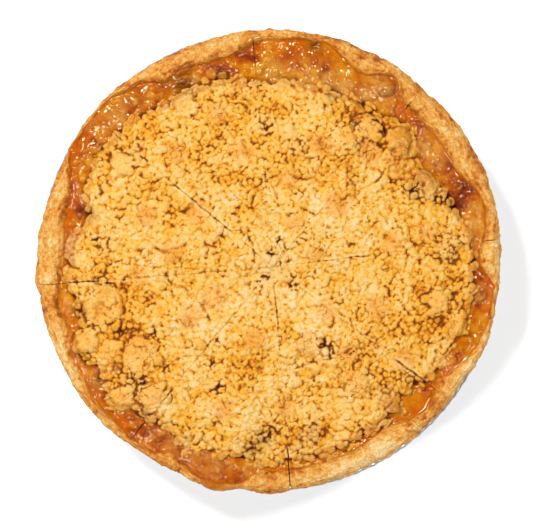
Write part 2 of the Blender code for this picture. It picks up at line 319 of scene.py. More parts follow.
def baked_material(name, fine_size, fine_bump, speckles, dry, wet, shader_values):
    """A surface whose colour and wetness are stored in its points, with fine speckle and bump from noise."""
    material, tree, shader = new_material(name, shader_values)
    place = node(tree, "ShaderNodeTexCoord", {}, {}).outputs["Object"]
    tone = node(tree, "ShaderNodeAttribute", {}, {}, attribute_name="tone").outputs["Vector"]
    wetness = node(tree, "ShaderNodeAttribute", {}, {}, attribute_name="wet").outputs["Fac"]
    fineness = {"Scale": 1 / fine_size, "Detail": 4.0, "Roughness": 0.65}
    speckle = node(tree, "ShaderNodeTexNoise", fineness, {"Vector": place}).outputs["Fac"]
    spread = {"From Min": 0.3, "From Max": 0.7, "To Min": 1 - speckles, "To Max": 1 + 0.8 * speckles}
    shade = node(tree, "ShaderNodeMapRange", spread, {"Value": speckle}).outputs["Result"]
    colour = node(tree, "ShaderNodeVectorMath", {}, {0: tone}, operation="SCALE")
    join(tree, colour, {"Scale": shade})
    relief = {"Strength": ranged(tree, wetness, 1.0, 0.15), "Height": speckle}
    bump = node(tree, "ShaderNodeBump", {"Distance": fine_bump}, relief)
    join(tree, shader, {
        "Base Color": colour.outputs["Vector"], "Roughness": ranged(tree, wetness, dry, wet),
        "Normal": bump.outputs["Normal"],
    })
    return material


def foil_material():
    """Thin aluminium, hazy and finely crinkled."""
    material, tree, shader = new_material("foil_look", {"Metallic": 1.0})
    place = {"Vector": node(tree, "ShaderNodeTexCoord", {}, {}).outputs["Object"]}
    crinkle = node(tree, "ShaderNodeTexVoronoi", {"Scale": 90.0}, place, feature="DISTANCE_TO_EDGE")
    haze = node(tree, "ShaderNodeTexNoise", {"Scale": 260.0, "Detail": 5.0}, place).outputs["Fac"]
    tones = {"A": DARK_FOIL, "B": BRIGHT_FOIL}
    colour = node(tree, "ShaderNodeMix", tones, {"Factor": haze}, data_type="RGBA")
    parts = {0: crinkle.outputs["Distance"], 1: haze}
    height = node(tree, "ShaderNodeMath", {}, parts, operation="ADD").outputs["Value"]
    bump = node(tree, "ShaderNodeBump", {"Distance": 0.25 * MM, "Strength": 0.6}, {"Height": height})
    join(tree, shader, {
        "Base Color": colour.outputs["Result"], "Roughness": ranged(tree, haze, 0.2, 0.42),
        "Normal": bump.outputs["Normal"],
    })
    return material


def floor_material():
    material, tree, shader = new_material("floor_look", {"Roughness": 0.9})
    paper = node(tree, "ShaderNodeTexNoise", {"Scale": 40.0, "Detail": 3.0}, {}).outputs["Fac"]
    join(tree, shader, {"Base Color": ranged(tree, paper, 0.93, 0.96)})
    return material


# Meshes


def placed(name, data):
    obj = bpy.data.objects.new(name, data)
    bpy.context.scene.collection.objects.link(obj)
    return obj


def new_object(name, mesh, material):
    mesh.materials.append(material)
    return placed(name, mesh)


def store(mesh, colours, wet):
    """Keeps each point's colour and wetness in the mesh, for its material."""
    tone = mesh.attributes.new("tone", "FLOAT_COLOR", "POINT")
    tone.data.foreach_set("color", np.column_stack([colours, np.ones(len(colours))]).ravel())
    mesh.attributes.new("wet", "FLOAT", "POINT").data.foreach_set("value", wet)


def mesh_of(name, points, faces, colours, wet):
    mesh = bpy.data.meshes.new(name)
    mesh.from_pydata(points.tolist(), [], faces.tolist())
    store(mesh, colours, wet)
    return mesh


def cuts_beside(number):
    """(cut, side) of the two cuts that bound a slice. side is 1 where the slice is to the left of the cut."""
    return (number, 1), ((number + 1) % len(CUTS), -1)


def left_of_cut(index):
    """The level direction that points to the left of a cut, seen along it from the knife's centre."""
    turn = math.radians(CUTS[index])
    return np.array((-math.sin(turn), math.cos(turn), 0))


def knife_planes(number):
    """(point, outward normal) of the two planes that bound a slice, half a kerf inside the knife's lines."""
    planes = []
    for index, side in cuts_beside(number):
        outward = -side * Vector(left_of_cut(index))
        planes.append((CUT_CENTRE - outward * KERF / 2, outward))
    return planes


def off_the_knife(x, y, index):
    """Distances along and to the left of a cut, how far it wanders there, and points for its noise."""
    turn = math.radians(CUTS[index])
    x, y = x - CUT_CENTRE.x, y - CUT_CENTRE.y
    ahead = x * math.cos(turn) + y * math.sin(turn)
    left = y * math.cos(turn) - x * math.sin(turn)
    line = np.stack([ahead, np.full(ahead.shape, 50 * MM * index)], axis=-1)
    near = bell(left, 2.5 * MM) * smoothstep(0, 4 * MM, ahead)
    return ahead, left, near * 0.6 * MM * layered(line, 5, 401), line


def crumbled(points, number, strength):
    """Moves points near a slice's cuts sideways by noise, which makes a straight cut a broken line."""
    moved = points.copy()
    for index, side in cuts_beside(number):
        _, left, wander, line = off_the_knife(points[:, 0], points[:, 1], index)
        ragged = -side * 0.03 * MM * layered(line, 2.5, 411 - side, 2) * bell(left, 2 * MM)
        moved -= strength * (wander + ragged)[:, None] * left_of_cut(index)
    return moved


# Where a cut gapes: (cut, from and to in millimetres from the knife's centre, gap in millimetres)
GAPING = (
    (0, 24, 54, 0.06), (0, 112, 124, 0.4), (1, 10, 46, 0.02), (1, 108, 118, 0.4), (2, 98, 124, 0.12),
    (2, 116, 126, 0.4), (3, 27, 72, 0.09), (3, 104, 116, 0.15), (4, 20, 76, 0.02), (4, 92, 128, 0.25),
    (5, 20, 62, 0.03), (5, 84, 96, 0.25), (5, 106, 122, 0.4), (6, 8, 34, 0.08), (6, 96, 126, 0.5),
    (7, 14, 30, 0.04), (7, 80, 112, 0.22),
)


def parted(points, number):
    """Moves points beside a slice's two cuts away from the knife's line where the cut gapes."""
    moved = points.copy()
    for index, side in cuts_beside(number):
        ahead, left, wander, _ = off_the_knife(points[:, 0], points[:, 1], index)
        gap = np.zeros(len(points))
        for cut, start, end, width in GAPING:
            if cut == index:
                gap = np.maximum(gap, width * MM * between(start * MM, end * MM, 5 * MM, ahead))
        moved += side * (gap / 2 * bell(left - wander, 1.6 * MM))[:, None] * left_of_cut(index)
    return moved


def cut_off(bm, point, outward):
    """Removes what lies outside the plane and returns the edges along the cut."""
    geom = [*bm.verts, *bm.edges, *bm.faces]
    result = bmesh.ops.bisect_plane(bm, geom=geom, plane_co=point, plane_no=outward, clear_outer=True)
    return [part for part in result["geom_cut"] if isinstance(part, bmesh.types.BMEdge)]


def finished(bm, name, material, reshape):
    """The slice's object, with its points passed through reshape."""
    bmesh.ops.triangulate(bm, faces=[face for face in bm.faces if len(face.verts) > 4])
    mesh = bpy.data.meshes.new(name)
    bm.to_mesh(mesh)
    bm.free()
    points = np.empty(len(mesh.vertices) * 3)
    mesh.vertices.foreach_get("co", points)
    points = reshape(points.reshape(-1, 3))
    mesh.vertices.foreach_set("co", points.ravel())
    return new_object(name, mesh, material)


def slice_of(whole, name, number, material):
    """One slice of a closed layer, with its cut sides closed."""
    bm = bmesh.new()
    bm.from_mesh(whole)
    for point, outward in knife_planes(number):
        edges = cut_off(bm, point, outward)
        bmesh.ops.edgeloop_fill(bm, edges=edges)
    bmesh.ops.recalc_face_normals(bm, faces=bm.faces)
    return finished(bm, name, material, lambda points: parted(points, number))


def ring_faces(steps, rows):
    """Quads between neighbouring rows all round, and a fan at each end, around two added points."""
    here = np.arange(steps)[:, None] * rows + np.arange(rows - 1)[None, :]
    ahead = np.roll(here, -1, axis=0)
    quads = np.stack([here, here + 1, ahead + 1, ahead], axis=-1).reshape(-1, 4).tolist()
    first = np.arange(steps) * rows
    following = np.roll(first, -1)
    top, bottom = steps * rows, steps * rows + 1
    fans = [[top, a, b] for a, b in zip(first, following)]
    fans += [[bottom, b + rows - 1, a + rows - 1] for a, b in zip(first, following)]
    return quads + fans


def rows_through(corners, counts, curved):
    """Rows along each section: straight between corners, or curved through them where the segment says so."""
    pieces = []
    for k, count in enumerate(counts):
        a, b = corners[:, k], corners[:, k + 1]
        before = corners[:, k - 1] if k in curved and k - 1 in curved else 2 * a - b
        after = corners[:, k + 2] if k in curved and k + 1 in curved else 2 * b - a
        share = (np.arange(count) / count)[None, :, None]
        a, b, before, after = (p[:, None, :] for p in (a, b, before, after))
        curve = 2 * a + (b - before) * share + (2 * before - 5 * a + 4 * b - after) * share**2
        curve = (curve + (3 * a - before - 3 * b + after) * share**3) / 2
        pieces.append(curve if k in curved else a + (b - a) * share)
    pieces.append(corners[:, -1:, :])
    return np.concatenate(pieces, axis=1)


# The pastry case


def rim_span(degrees):
    """Where the crust's rim begins and ends at these angles, and how full it is, from 0 to 1."""
    outer = around(degrees, CRUST_EDGE) * MM
    inner = np.minimum(around(degrees, RIM_INNER_EDGE) * MM, outer - 2.6 * MM)
    return inner, outer, np.minimum(1, (outer - inner) / FULL_RIM_WIDTH)


def corner_rows(degrees, corners):
    """Section corners, given as (radius, height) pairs of numbers or arrays, as one array for all angles."""
    rows = [np.stack(np.broadcast_arrays(r, z, degrees * 1.0)[:2], axis=-1) for r, z in corners]
    return np.stack(rows, axis=1)


RING_STEPS = 1300
RING_DEGREES = np.arange(RING_STEPS) * 360 / RING_STEPS
CRUST_ROWS = (3, 3, 12, 6, 3, 8, 14, 16, 12, 8, 5, 6, 3, 10, 3, 3)
CRUST_CURVED = (5, 6, 7, 8, 9, 10)
# Where the crust draws back from the tin's lip: (degrees, half width in degrees)
FOIL_SHOWS = ((312, 26),)


def crust_corners(degrees):
    inner, outer, fullness = rim_span(degrees)
    circle = 0.12 * np.stack([np.cos(np.radians(degrees)), np.sin(np.radians(degrees))], axis=-1)
    inner = inner + 0.9 * MM * layered(circle, 7, 13)
    drawn_back = (0.4 + 0.2 * near_stretches(degrees, FOIL_SHOWS)) * MM
    outer = outer + 0.55 * MM * layered(circle, 5, 15) - drawn_back
    width = outer - inner
    crest = RIM_CREST - RIM_SLUMP * (1 - fullness) + 0.6 * MM * wobble(degrees, 5, 11)
    base = FOIL + GAP
    return corner_rows(degrees, [
        (0, base + PASTRY),
        (TIN_FLOOR_RADIUS - 4.5 * MM, base + PASTRY),
        (TIN_FLOOR_RADIUS + 1.0 * MM, base + 2 * PASTRY),
        CASE_WALL,
        (SHELF_RADIUS, SHELF_HEIGHT),
        (inner, SHELF_HEIGHT),
        (inner + 0.16 * width, crest - 1.6 * MM),
        (inner + 0.42 * width, crest),
        (inner + 0.75 * width, crest - 0.9 * MM),
        (outer, SHELF_HEIGHT + 1.4 * MM),
        (outer - 0.5 * MM, TIN_LIP_HEIGHT + 1.5 * MM),
        (outer - 3.2 * MM, TIN_LIP_HEIGHT + GAP),
        (TIN_WALL_TOP[0], TIN_LIP_HEIGHT + GAP),
        (TIN_WALL_TOP[0] - 1.5 * CLEARANCE, TIN_WALL_TOP[1] - 0.5 * CLEARANCE),
        (TIN_WALL_BOTTOM[0] - CLEARANCE, TIN_WALL_BOTTOM[1]),
        (TIN_FLOOR_RADIUS - 0.5 * CLEARANCE, base),
        (0, base),
    ])


def skin_of(corners, counts, curved):
    """Points of a turned skin, one row array for each angle, without the two ends on the axis."""
    sections = rows_through(corners, counts, curved)[:, 1:-1]
    turns = np.arange(len(sections)) * math.tau / len(sections)
    return swung(turns[:, None], sections[..., 0], sections[..., 1])


def outward_of(skin):
    """Each point's outward direction, from its neighbours along and across the rows."""
    along = np.gradient(skin, axis=1)
    across = np.roll(skin, -1, axis=0) - np.roll(skin, 1, axis=0)
    normal = np.cross(across, along)
    return -normal / np.maximum(np.linalg.norm(normal, axis=-1, keepdims=True), 1e-12)


def closed_mesh(name, skin, ends):
    """A smooth closed mesh of the skin and its two end points on the axis."""
    steps, rows, _ = skin.shape
    points = np.concatenate([skin.reshape(-1, 3), [(0, 0, end) for end in ends]])
    mesh = bpy.data.meshes.new(name)
    mesh.from_pydata(points.tolist(), [], ring_faces(steps, rows))
    mesh.shade_smooth()
    return mesh


def layer_mesh(name, skin, ends, colours, wet):
    """A whole layer of the pie as a closed mesh, with its colours and wetness."""
    mesh = closed_mesh(name, skin, ends)
    colours = np.concatenate([colours.reshape(-1, 3), colours[0, :1], colours[0, -1:]])
    store(mesh, colours, np.concatenate([wet.ravel(), [0, 0]]))
    return mesh


# Where the juice has run over the rim: (degrees, half width in degrees, radius reached in millimetres)
OVERFLOWS = (
    (14, 7, 120), (57, 6, 119.5), (80, 12, 122), (94, 4, 123), (134, 9, 123.5), (148, 9, 123),
    (205, 6, 118), (222, 8, 121), (236, 5, 120.5), (257, 7, 127.5), (310, 9, 114), (316, 5, 117),
    (350, 9, 123.5),
)


def juice_reach(degrees):
    """Radius that the juice reaches at these angles."""
    reach = rim_span(degrees)[0] + 1.4 * MM
    for place, half, radius in OVERFLOWS:
        off = np.abs(angle_off(degrees, place)) / half
        reach = np.maximum(reach, np.where(off < 1, radius * MM - 9 * MM * off**2, 0))
    return reach


# Paler stretches of the rim: (degrees, half width in degrees)
PALE_STRETCHES = ((176, 7), (207, 13), (284, 15), (305, 10), (331, 10), (355, 13))


def crust_mesh():
    degrees = RING_DEGREES
    skin = skin_of(crust_corners(degrees), CRUST_ROWS, CRUST_CURVED)
    radius = distance(skin)
    height = skin[..., 2]
    inner, outer, _ = rim_span(degrees)
    across = np.clip((radius - inner[:, None]) / (outer - inner)[:, None], 0, 1)
    shown = smoothstep(34.4 * MM, 36.2 * MM, height) * smoothstep(-1 * MM, 2 * MM, radius - inner[:, None])
    folds = layered(skin, 16, 21, 2)
    dough = layered(skin, 4.5, 31)
    polar = np.stack([np.radians(degrees)[:, None] * 120 * MM / 6 + 0 * radius, radius, height * 2], axis=-1)
    flakes = 1 - np.abs(layered(polar, 2.6, 41, 2))
    flaky = smoothstep(0.1, 0.6, layered(skin, 22, 51, 2) + 1.2 * across - 0.4)
    cracks = smoothstep(0.9, 0.99, 1 - np.abs(layered(skin, 11, 61))) * smoothstep(-0.1, 0.5, folds)
    grainy = layered(skin, 1.7, 65, 2)
    flaked = flaky * (flakes - 0.8)
    relief = 0.8 * MM * folds + 0.9 * MM * dough + 1.3 * MM * flaked - 0.6 * MM * cracks
    relief += 0.5 * MM * grainy
    reach = juice_reach(degrees)[:, None] + 2.4 * MM * layered(skin, 8, 71)
    wet = smoothstep(0.5 * MM, -0.3 * MM, radius - reach) * smoothstep(-2 * MM, 0, radius - inner[:, None])
    relief = relief * (1 - 0.6 * wet) + 0.45 * MM * wet
    skin = skin + outward_of(skin) * (relief * shown)[..., None]
    browned = layered(skin, 10, 81)
    tone = 0.52 + 0.44 * browned + 0.2 * smoothstep(0.72, 1, across) - 0.08 * smoothstep(0.1, 0.5, across)
    # Painted light and shade in the next lines: raised dough, flakes and grains paler, cracks darker.
    tone += 0.25 * smoothstep(0.1, 0.7, layered(skin, 3.2, 91, 2)) + 0.35 * cracks - 0.2 * dough
    tone += 0.42 * layered(skin, 1.4, 93, 2) - 0.2 * flaked
    tone += 0.26 * smoothstep(3.5 * MM, 0, radius - reach) * (1 - wet) - 0.16 * grainy
    tone -= 0.27 * near_stretches(degrees, PALE_STRETCHES)[:, None]
    colours = ramp(tone, PASTRY_TONES)
    bottom = smoothstep(34.0 * MM, 32.5 * MM, height)
    colours = tinted(colours, PALE_PASTRY, 0.7 * bottom)
    glaze = ramp(0.36 + 0.5 * layered(skin, 7, 95), GLAZE_TONES)
    colours = mixed(colours, glaze, 0.8 * wet)
    ends = (FOIL + GAP + PASTRY, FOIL + GAP)
    return layer_mesh("crust", skin, ends, colours, wet)


# The filling and its ring of glaze


FILLING_ROWS = (3, 6, 24, 22, 22, 9, 3, 3, 3, 8, 3, 3)
FILLING_CURVED = (1, 2, 3, 4, 5)
FILLING_TOP_ROWS = sum(FILLING_ROWS[:6])

# Places with a colour of their own: (degrees, radius, width in millimetres, strength)
MILKY_PLACES = (
    (57, 112, 8, 0.7), (60, 103, 6, 0.8), (66, 101, 6, 0.8), (73, 102, 7, 0.7), (80, 101, 7, 0.6),
    (88, 101, 6, 0.7), (36, 104, 5, 0.8), (31, 106, 5, 0.5), (136, 113, 9, 0.5), (142, 117, 6, 0.4),
    (243, 109, 8, 0.4), (250, 108, 7, 0.3), (256, 115, 6, 0.25), (350, 115, 6, 0.35), (215, 113, 5, 0.5),
    (204, 115, 5, 0.25),
)
BURNT_PLACES = (
    (18, 103, 3.5, 1), (78, 119, 4, 0.7), (116, 107, 7, 0.7), (165, 101, 4, 0.7), (195, 106, 3.5, 0.9),
    (230, 107, 3.5, 0.8), (208, 112, 3, 0.6), (265, 101, 5, 0.9), (268, 95, 5, 0.8), (245, 105, 3, 0.5),
    (69, 96, 4, 0.6), (60, 97, 3, 0.7), (22, 112, 4, 0.4), (128, 115, 5, 0.3), (310, 106, 5, 0.2),
)
BROWN_PLACES = (
    (104, 109, 10, 1), (20, 103, 10, 1), (130, 113, 10, 0.8), (28, 107, 8, 0.7), (66, 97, 6, 0.8),
    (118, 106, 8, 0.8), (168, 104, 7, 0.8), (142, 112, 8, 0.5), (262, 104, 6, 0.7),
)


def place_weight(points, places):
    """How strongly each point belongs to the listed places, from 0 to 1."""
    weight = np.zeros(points.shape[:-1])
    for degrees, radius, width, strength in places:
        turn = math.radians(degrees)
        off = distance(points, radius * MM * math.cos(turn), radius * MM * math.sin(turn))
        weight = np.maximum(weight, strength * bell(off, width * MM))
    return weight


def glaze_level(degrees):
    fullness = rim_span(degrees)[2]
    return GLAZE_LEVEL + GLAZE_SWELL * (1 - fullness) + 0.25 * MM * wobble(degrees, 6, 3)


def filling_corners(degrees):
    inner = rim_span(degrees)[0]
    level = glaze_level(degrees)
    end = inner + 0.8 * MM
    foot = np.minimum(around(degrees, TOPPING_EDGE) * MM - 1.2 * MM, SHELF_RADIUS - 3 * MM)
    reach = end - foot
    floor = FOIL + 2 * GAP + PASTRY
    return corner_rows(degrees, [
        (0, FILLING_TOP),
        (foot - 7 * MM, FILLING_TOP - 0.5 * MM),
        (foot, FILLING_TOP + 3 * MM),
        (np.minimum(foot + 0.35 * reach, SHELF_RADIUS - 1 * MM), level - 0.3 * MM),
        (foot + 0.70 * reach, level),
        (end - 1.7 * MM, level - 0.2 * MM),
        (end + 0.6 * MM, level + 0.9 * MM),
        (end, SHELF_HEIGHT + GAP),
        (SHELF_RADIUS - GAP, SHELF_HEIGHT + GAP),
        (CASE_WALL[0] - GAP, CASE_WALL[1] + GAP),
        (TIN_FLOOR_RADIUS + 0.5 * MM, floor + PASTRY),
        (TIN_FLOOR_RADIUS - 4.8 * MM, floor),
        (0, floor),
    ])


def lumps_on(skin, lumps, fullness):
    """Height over the ring of glaze of round lumps, given as (degrees, radius, half width in millimetres)."""
    raised = np.zeros(skin.shape[:2])
    radius = distance(skin)
    turn = np.degrees(np.arctan2(skin[..., 1], skin[..., 0])) % 360
    for degrees, place, size in lumps:
        aside, out = angle_off(turn, degrees), radius - place * MM
        near = (np.abs(aside) < 5) & (np.abs(out) < size * MM)
        share = np.hypot(np.radians(aside[near]) * radius[near], out[near]) / (size * MM)
        lump = fullness * size * MM * np.sqrt(np.clip(1 - share**2, 0, 1))
        raised[near] = np.maximum(raised[near], lump)
    return raised


def scattered_lumps(draw, total, low_off, high_off, smallest, largest):
    """Seeded lumps between the crumbs' edge and the rim, as (degrees, radius, half width in millimetres)."""
    lumps = []
    for _ in range(total):
        degrees = draw.uniform(0, 360)
        low = around(degrees, TOPPING_EDGE) + low_off
        high = around(degrees, RIM_INNER_EDGE) + high_off
        place = low + max(0, high - low) * draw.random()
        lumps.append((degrees, place, smallest + (largest - smallest) * draw.random() ** 2))
    return lumps


SMALL_BUBBLES = 300
SUNKEN_LUMPS = 260
# Bubbles of caramel: (degrees, radius, half width in millimetres)
BUBBLES = (
    (56, 112.5, 5), (52, 107, 3), (136, 115, 3.4), (143, 117, 2.6), (244, 110, 3.4), (351, 117, 3),
    (215, 112, 2.8), (62, 104, 2.6), (108, 110, 2.6), (148, 113, 2.4), (238, 113, 2.4), (12, 112, 2.6),
)


def filling_mesh(draw):
    degrees = RING_DEGREES
    skin = skin_of(filling_corners(degrees), FILLING_ROWS, FILLING_CURVED)
    rows = np.arange(skin.shape[1])
    on_top = smoothstep(FILLING_ROWS[0], FILLING_ROWS[0] + 6, rows)
    on_top = on_top * smoothstep(FILLING_TOP_ROWS - 1, FILLING_TOP_ROWS - 9, rows)
    lumps = layered(skin, 9, 101, 2)
    ripples = layered(skin, 3.4, 111, 2)
    milky = place_weight(skin, MILKY_PLACES)
    burnt = place_weight(skin, BURNT_PLACES)
    sway = [1.3 * MM * layered(skin, 3, seed, 2) for seed in (107, 109)]
    swayed = skin + np.stack([*sway, np.zeros_like(sway[0])], axis=-1)
    bubbles = lumps_on(skin, scattered_lumps(draw, SMALL_BUBBLES, -1, 1, 0.7, 2.2), 0.6)
    bubbles = np.maximum(bubbles, lumps_on(swayed, BUBBLES, 0.42))
    sunken = lumps_on(swayed, scattered_lumps(draw, SUNKEN_LUMPS, -1.5, -3, 1.2, 3.6), 0.5)
    sunken *= smoothstep(-0.3, 0.3, layered(skin, 14, 105, 2))
    seething = smoothstep(-0.1, 0.4, layered(skin, 10, 113, 2))
    raised = np.maximum(bubbles, sunken) + 1.2 * MM * lumps + 0.8 * MM * ripples
    raised += 0.9 * MM * milky - 1.2 * MM * burnt
    raised += 0.45 * MM * seething * layered(skin, 2.5, 117, 1)
    radius = distance(skin)
    raised -= 1.6 * MM * burnt * smoothstep(109 * MM, 105 * MM, radius)
    skin[..., 2] += raised * on_top
    edge = (around(degrees, TOPPING_EDGE) * MM)[:, None]
    out = np.clip((radius - edge) / (rim_span(degrees)[0][:, None] - edge + 0.5 * MM), 0, 1)
    # Painted light and shade: the glaze is a little paler where ripples rise, and darker along the crumbs'
    # edge, where shade falls.
    tone = 0.40 + 0.6 * layered(skin, 10, 121) + 0.3 * layered(skin, 3, 131) - 0.12 * ripples
    shade_by_crumbs = smoothstep(3.5 * MM, -1 * MM, radius - edge)
    tone += 0.3 * shade_by_crumbs * smoothstep(-0.6, 0.2, layered(skin, 11, 151, 2))
    tone += 0.34 * place_weight(skin, BROWN_PLACES)
    colours = ramp(tone, GLAZE_TONES)
    amber = smoothstep(0.4, 0.9, out) * smoothstep(-0.5, 0.3, layered(skin, 12, 161, 2))
    colours = tinted(colours, AMBER, 0.6 * amber)
    colours = tinted(colours, MILKY, milky * smoothstep(-0.9, 0.2, ripples))
    colours = tinted(colours, SUNKEN_APPLE, 0.6 * smoothstep(0.1 * MM, 1.6 * MM, sunken))
    colours = tinted(colours, BURNT, burnt)
    apple = ramp(0.25 + 0.3 * layered(skin, 14, 141, 2), GLAZE_TONES)
    side = np.broadcast_to(rows >= FILLING_TOP_ROWS + 1, skin.shape[:2]) * 1.0
    colours = mixed(colours, apple, side)
    ends = (FILLING_TOP, FOIL + 2 * GAP + PASTRY)
    return layer_mesh("filling", skin, ends, colours, 1 - 0.8 * burnt)


# The crumb topping


GRID = 0.38 * MM
GRID_REACH = 117 * MM
SKIRT_HEIGHT = 32.8 * MM
CARPET_PITCH = 2.8 * MM
# Seeded crumbs that stand on the carpet: (count, narrowest, widest in millimetres)
STANDING_CRUMBS = ((70, 6.0, 8.5), (330, 4.4, 6.0), (900, 2.4, 4.4))
EDGE_CRUMBS = 340
GROOVE_WIDTH = 0.45 * MM
GROOVE_DEPTH = 0.55 * MM
# Where the crumbs reach the crust with no glaze between: (degrees, half width in degrees)
DRY_EDGES = ((178, 6), (284, 17))
# Where juice has soaked into the crumbs: (degrees, half width in degrees, depth in millimetres)
SOAKED = ((40, 12, 14), (27, 8, 9), (75, 20, 3.5), (115, 8, 3), (166, 6, 4), (236, 8, 4), (312, 7, 9))
SOAKED_EDGE = 2.6
# Where it has stained them red: (degrees, radius, width in millimetres, strength)
RED_PLACES = ((26, 86, 4, 0.8), (27, 91, 4, 0.5), (312, 93, 4, 0.45), (320, 97, 4, 0.45), (270, 92, 4, 0.7))

# Dark holes between crumbs, listed: (x, y, width, depth in millimetres)
HOLES = (
    (12.2, -14, 3, 5), (0.9, 4.3, 2.2, 4), (9, 8.5, 2.6, 4), (-4.5, -11, 2, 3), (30, -45.2, 5, 4),
    (33.5, -49, 3, 3), (61.7, 70.5, 2.6, 6), (56.5, 75.5, 2.2, 6), (55, 80.5, 2, 5), (-1, 72, 3, 5),
    (58.6, 61, 2, 5), (79.5, 38.5, 2.6, 5), (-27.5, -68.5, 3, 5), (-79, -37.5, 3, 4), (-31, -55, 2, 4),
    (92, 33, 3, 5), (-68, -66, 3.4, 5), (66, 44, 2, 4), (-62, -38.5, 2.4, 4), (-93.5, 13, 2.4, 4),
    (-55.5, -58.5, 2.4, 4), (86, -42.5, 2.2, 4), (5.4, 11.5, 2, 4), (10.2, 0.6, 2, 4), (5.7, -2.1, 1.8, 3),
    (-10.7, 10.3, 1.8, 3), (-16.3, 8.1, 1.6, 3), (13.4, -7.5, 1.8, 3), (-2, -8.5, 1.8, 3), (-27, -42, 2, 4),
    (44, -49, 2.4, 4),
)
# Clumps that have baked flat and tan: (x, y, width in millimetres)
TAN_PATCHES = (
    (36, 30.5, 15), (53.5, 57, 13), (27, 63, 12), (-38, 26, 14), (-14.5, 58, 13), (14, 20, 11),
    (-52, 6, 14), (-30, -19.5, 15), (-43, -30, 14), (66, 10, 12), (58, -25, 13), (30, -27, 12),
    (-8, -42, 14), (8, -78, 13), (-24, -80, 12), (-66, 24, 13), (72, -52, 12), (-28, 80, 12), (10, 44, 12),
    (84, 16, 11), (-70, -8, 12), (-50, 58, 12), (42, -50, 12), (24, 4, 11),
)


def standing_crumbs(draw):
    """Seeded crumbs that stand on the carpet of smaller ones, as (x, y, width) in metres, widest first."""
    widths = [draw.uniform(low, high) for count, low, high in STANDING_CRUMBS for _ in range(count)]
    crumbs = []
    for width in sorted(widths, reverse=True):
        degrees = draw.uniform(0, 360)
        radius = (around(degrees, TOPPING_EDGE) - 0.2 * width) * math.sqrt(draw.random())
        turn = math.radians(degrees)
        crumbs.append((radius * math.cos(turn) * MM, radius * math.sin(turn) * MM, width * MM))
    return crumbs


def carpet_crumbs(draw):
    """A close carpet of small crumbs over all the topping, as (x, y, width) in metres."""
    pitch = CARPET_PITCH
    crumbs = []
    for row, y in enumerate(np.arange(-GRID_REACH, GRID_REACH, pitch * 0.87)):
        for x in np.arange(-GRID_REACH, GRID_REACH, pitch) + (row % 2) * pitch / 2:
            x_off, y_off = draw.uniform(-0.42, 0.42, 2) * pitch
            width = draw.uniform(1.15, 1.85) * pitch
            edge = around(math.degrees(math.atan2(y, x)), TOPPING_EDGE) * MM
            if math.hypot(x, y) < edge - 1.2 * MM:
                crumbs.append((x + x_off, y + y_off, width))
    draw.shuffle(crumbs)
    return crumbs


class CrumbField:
    """Height, crumb by crumb, of the topping over a square grid, and what each sample's colour needs."""

    def __init__(self):
        ticks = np.arange(-GRID_REACH, GRID_REACH + GRID / 2, GRID)
        self.ticks = ticks
        self.x, self.y = np.meshgrid(ticks, ticks, indexing="ij")
        self.flat = np.stack([self.x, self.y], axis=-1)
        self.degrees = np.degrees(np.arctan2(self.y, self.x)) % 360
        self.radius = np.hypot(self.x, self.y)
        self.edge = around(self.degrees, TOPPING_EDGE) * MM
        self.dome = self.dome_height()
        coarse = [1.0 * MM * layered(self.flat, 5, seed, 2) for seed in (201, 211)]
        fine = [0.4 * MM * layered(self.flat, 1.7, seed, 2) for seed in (205, 215)]
        self.warped = self.flat + np.stack(coarse, axis=-1) + np.stack(fine, axis=-1)
        bare = self.dome - 1.6 * MM
        sunk = smoothstep(-4 * MM, 0.5 * MM, self.radius - self.edge)
        self.height = bare + (SKIRT_HEIGHT + 0.6 * MM - bare) * sunk
        self.shade = np.zeros_like(self.height)
        self.smooth = np.zeros_like(self.height)

    def dome_height(self):
        share = np.minimum(1, self.radius / self.edge)
        rise = (TOPPING_CENTRE - TOPPING_EDGE_HEIGHT) * (1 - share**4)
        near = self.radius < self.edge + 8 * MM
        hills = np.zeros_like(self.x)
        spots = zip(self.x[near], self.y[near])
        hills[near] = [noise.noise(Vector((x, y, 0)) / HILL_WIDTH) for x, y in spots]
        pit = bell(distance(self.flat, CUT_CENTRE.x, CUT_CENTRE.y), PIT_RADIUS)
        beyond = np.clip(self.radius - self.edge, 0, 8 * MM)
        return TOPPING_EDGE_HEIGHT + rise + HILL * hills - PIT_DEPTH * pit - 0.9 * beyond

    def window(self, x, y, reach):
        low = np.searchsorted(self.ticks, (x - reach, y - reach))
        high = np.searchsorted(self.ticks, (x + reach, y + reach))
        return slice(low[0], high[0]), slice(low[1], high[1])

    def press(self, x, y, width, lift, flatness, draw, smooth=0.0):
        """Adds one crumb, warped and tilted, where it stands over what is there already."""
        area = self.window(x, y, 0.8 * width)
        turn = draw.uniform(0, math.pi)
        stretch = draw.uniform(0.88, 1.14)
        off = self.warped[area] - (x, y)
        along = (off[..., 0] * math.cos(turn) + off[..., 1] * math.sin(turn)) * stretch / (width / 2)
        aside = (off[..., 1] * math.cos(turn) - off[..., 0] * math.sin(turn)) / stretch / (width / 2)
        power = draw.uniform(1.8, 2.3)
        share = np.abs(along) ** power + np.abs(aside) ** power
        tilt = 0.07 * (along * draw.uniform(-1, 1) + aside * draw.uniform(-1, 1))
        body = (np.sqrt(np.clip(1 - share, 0, 1)) + tilt) * flatness * width
        top = np.where(share < 1, self.level_at(x, y) + lift + body, -1)
        over = top > self.height[area]
        self.height[area] = np.where(over, top, self.height[area])
        self.shade[area] = np.where(over, draw.uniform(-1, 1), self.shade[area])
        self.smooth[area] = np.where(over, smooth, self.smooth[area])

    def level_at(self, x, y):
        i, j = np.searchsorted(self.ticks, (x, y))
        return self.dome[i, j]


def winding(points, size, width, seed):
    """Thin crooked lines, from 0 to 1, where noise of this size changes sign."""
    return bell(layered(points, size, seed), width)


def beside(x, y, reach, turn):
    """The place in metres that is this far in millimetres from a clump's centre."""
    return (x + reach * math.cos(turn)) * MM, (y + reach * math.sin(turn)) * MM


